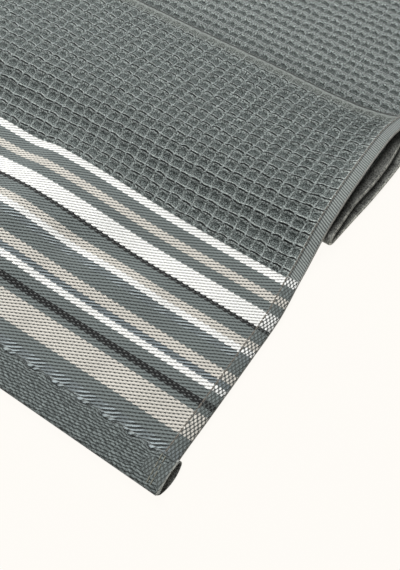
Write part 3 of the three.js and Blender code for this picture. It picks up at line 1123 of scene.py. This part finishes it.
# The bottom layer
# The rest of the towel lies flat on the table, under the fold and on beyond the ridge.
# Where it comes out from under the ridge its cells are modelled finer.
WAFFLE_ENDS = LENGTH - FAR_BAND
BOTTOM_SPLIT = FIRST_RIDGE_ACROSS + 27.5 * CELL
FINER_FROM = NOSE_ENDS + 60
FINER_TO = NOSE_ENDS + 165
MEDIUM = (-0.38, -0.25, -0.12, 0, 0.12, 0.25, 0.38)
cut_waffle(
    "waffle_bottom_right",
    (right_edge, columns_between(FIELD_FROM_SIDE, BOTTOM_SPLIT, MEDIUM)),
    (
        evenly(NOSE_ENDS, FINER_FROM, 2)[:-1],
        rows_between(FINER_FROM, FINER_TO, MEDIUM)[:-1],
        rows_between(FINER_TO, WAFFLE_ENDS, COARSE),
    ),
    # the hem strips take the darker back of the cloth instead of their twill: painted shade
    strip=cloth_back,
)
cut_waffle(
    "waffle_bottom_left",
    (columns_between(BOTTOM_SPLIT, WIDTH - FIELD_FROM_SIDE, COARSE), left_edge),
    (rows_between(NOSE_ENDS, WAFFLE_ENDS, COARSE),),
)

# The far end
# A narrow band of plain twill closes the towel's other end. It is turned up in a hem as deep
# as the one at the front.


def even_relief(across, along):
    """Plain cloth: its thickness, round at its edges."""
    half = thickness(across, along) / 2 * edge_roundness(across, along)
    return half, half, across, along


far_end = cut_cloth(
    "far_end",
    (right_edge, evenly(TWILL_FROM_SIDE, WIDTH - TWILL_FROM_SIDE, 2.4), left_edge),
    (evenly(WAFFLE_ENDS, LENGTH - TWILL_FROM_END, 1.2), LENGTH - end_rows[::-1]),
    even_relief,
)
far_end.data.materials.append(hem_strip)

# The open end of the hem
# At the corner the turned-up hem ends in a flat open tube. Its lower layer reaches out past
# the upper one, and the mouth shows the dark inside between them.
MOUTH_MIDDLE = 7.0
MOUTH_HALF_WIDTH = 7.0
MOUTH_HALF_HEIGHT = 1.45
MOUTH_WALL = 0.55
MOUTH_INNER_X = -6.5
MOUTH_AROUND = 48
MOUTH_DEPTHS = (1, 0.6, 0.4, 0.32, 0.24, 0.16, 0.08, 0.03, 0)
CORNER_CUT = 1.1
CORNER_REACH = 1.4
MERGE_DISTANCE = 0.000002
# How far each lip reaches out at its crest, its curve, where the crest is, half its width
UPPER_LIP = (3.1, 0.55, 7.5, 6.5)
LOWER_LIP = (5.1, -1.15, 8.3, 7)


def ring_grid(name, around, rows, place):
    """A grid closed to a tube: place gives the points for each turn and row."""
    piece, column, row = new_grid(name, around, len(rows) - 1)
    points, flat = place(2 * np.pi * (column % around) / around, np.asarray(rows)[row])
    piece.data.vertices.foreach_set("co", points.ravel())
    map_cloth(piece.data, cells=flat)
    bpy.ops.object.mode_set(mode="EDIT")
    bpy.ops.mesh.select_all(action="SELECT")
    bpy.ops.mesh.remove_doubles(threshold=MERGE_DISTANCE)
    bpy.ops.object.mode_set(mode="OBJECT")
    return piece


def lip_reach(y, lip):
    """How far a lip of the mouth reaches out, at a place between hem edge and seam."""
    reach, curve, middle, half_width = lip
    return reach + curve * ((y - middle) / half_width) ** 2


def mouth_place(turn, depth):
    """The hem's tube: from its mouth, at depth 0, into the hem, at depth 1."""
    wide = np.sign(np.cos(turn)) * np.abs(np.cos(turn)) ** 0.8
    high = np.sign(np.sin(turn)) * np.abs(np.sin(turn)) ** 0.65
    y = MOUTH_MIDDLE + MOUTH_HALF_WIDTH * wide
    upper, lower = lip_reach(y, UPPER_LIP), lip_reach(y, LOWER_LIP)
    lip = lower + (upper - lower) * ease(high, -0.7, 0.5)
    lip = lip - CORNER_CUT * np.maximum(1 - y / CORNER_REACH, 0) ** 2
    shrink = 1 - 0.15 * ease(depth, 0.1, 0.35)
    x = lip + (MOUTH_INNER_X - lip) * depth
    z = MOUTH_HALF_HEIGHT * (1 + high * shrink)
    points = np.stack((x, MOUTH_MIDDLE + (y - MOUTH_MIDDLE) * shrink, z), -1)
    return on_table(points), np.stack((SIDE_HEM - 2.3 - x, y), -1)


# The mouth's rim takes a painted highlight, uneven in tone
lit_rim, tree, shader = new_material("lit_rim")
place, _, _ = place_on_cloth(tree)
tone = times_plus(noise(place, 2.0), 2.5, 1.0)
fill(shader, Base_Color=toned(EDGE_HIGHLIGHT[:3], tone))
hem_mouth = ring_grid("hem_mouth", MOUTH_AROUND, MOUTH_DEPTHS, mouth_place)
for finish in (dotted_reverse, cloth_back, lit_rim):
    hem_mouth.data.materials.append(finish)
wall = hem_mouth.modifiers.new("wall", "SOLIDIFY")
wall.thickness = MOUTH_WALL * MM
wall.offset = -1
wall.material_offset = 1
wall.material_offset_rim = 2
bpy.ops.object.modifier_apply(modifier=wall.name)
bpy.ops.object.shade_smooth_by_angle(angle=math.radians(50))
as_sheet(hem_mouth)

# The seams
# A brown cotton thread sews down the side hems, one stitch after another, and a paler one
# goes over it twice where it crosses the end hem. A slate one lies in the end hem's groove.
STITCH = 2.7
STITCH_SHARES = np.array((0, 0.06, 0.16, 0.5, 0.84, 0.94))
SIDE_SEAM_ACROSS = 5.1
SIDE_SEAM_STARTS = 13.5
SIDE_SEAM_ENDS = LENGTH - 1
SIDE_THREAD = 0.2
DOUBLED_ACROSS = 3.4
DOUBLED_GAP = 1.4
DOUBLED_SLANT = 1.3
DOUBLED_STARTS = 1.6
DOUBLED_ENDS = 14.6
DOUBLED_THREAD = 0.24
END_SEAM_STARTS = 6.5
END_SEAM_ENDS = WIDTH - END_SEAM_STARTS
END_SEAM_SUNK = 0.45
END_THREAD = 0.17


def thread_finish(name, dark, light):
    """Twisted cotton thread."""
    material, tree, shader = new_material(name)
    _, around, along = place_on_cloth(tree)
    ply = eased(maths("PINGPONG", times_plus(along, 2.2, around), 0.5), 0.05, 0.35)
    fill(shader, Base_Color=blend(ply, dark, light))
    bump(shader, ply, 0.08)
    return material


def sew(name, start, end, radius, finish, line):
    """A row of stitches: line gives across, along and height for each place on the seam. The
    thread grows thinner and sinks into the cloth at each needle hole."""
    first = start + STITCH * np.arange(math.floor((end - start) / STITCH))
    rows = np.append((first[:, None] + STITCH_SHARES * STITCH).ravel(), first[-1] + STITCH)

    def place(turn, way):
        from_hole = off_whole((way - start) / STITCH) * STITCH
        closed = (way > rows[0] + 1e-6) & (way < rows[-1] - 1e-6)
        thick = radius * (0.7 + 0.3 * ease(from_hole, 0, 0.5)) * closed
        across, along, above = line(way)
        above = above + 0.4 * radius - 1.6 * radius * (1 - ease(from_hole, 0, 0.45))
        sideways, lengthwise = (1, 0) if np.ptp(along) > np.ptp(across) else (0, 1)
        across = across + sideways * thick * np.cos(turn)
        along = along + lengthwise * thick * np.cos(turn)
        points = lay(across, along, above + thick * np.sin(turn))
        return points, np.stack((turn / (2 * np.pi), way), -1)

    seam = ring_grid(name, 6, rows, place)
    seam.data.materials.append(finish)
    bpy.ops.object.shade_smooth_by_angle(angle=math.radians(60))
    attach(seam, "root")


def side_line(across, way):
    """A seam along a side hem."""
    across = np.full(way.shape, across)
    return across, way, thickness(across, way) / 2


def doubled_line(across, way):
    """One pass of the doubled seam, aslant over the end hem."""
    across = across + DOUBLED_SLANT * (way - 1.5) / 12
    return across, way, thickness(across, way) / 2


def end_line(way):
    """The seam of the end hem, across the cloth."""
    along = np.full(way.shape, END_HEM - SEAM_INSET)
    return way, along, thickness(way, along) / 2 - END_SEAM_SUNK


brown_thread = thread_finish("brown_thread", (0.055, 0.049, 0.042, 1), (0.2, 0.184, 0.157, 1))
pale_thread = thread_finish("pale_thread", (0.1, 0.1, 0.08, 1), (0.26, 0.26, 0.21, 1))
slate_thread = thread_finish("slate_thread", (0.03, 0.034, 0.033, 1), (0.1, 0.115, 0.112, 1))
for side, across in (("right", SIDE_SEAM_ACROSS), ("left", WIDTH - SIDE_SEAM_ACROSS)):
    line = partial(side_line, across)
    sew("side_seam_" + side, SIDE_SEAM_STARTS, SIDE_SEAM_ENDS, SIDE_THREAD, brown_thread, line)
for side, across in (("outer", DOUBLED_ACROSS), ("inner", DOUBLED_ACROSS + DOUBLED_GAP)):
    line = partial(doubled_line, across)
    sew("doubled_seam_" + side, DOUBLED_STARTS, DOUBLED_ENDS, DOUBLED_THREAD, pale_thread, line)
sew("end_seam", END_SEAM_STARTS, END_SEAM_ENDS, END_THREAD, slate_thread, end_line)
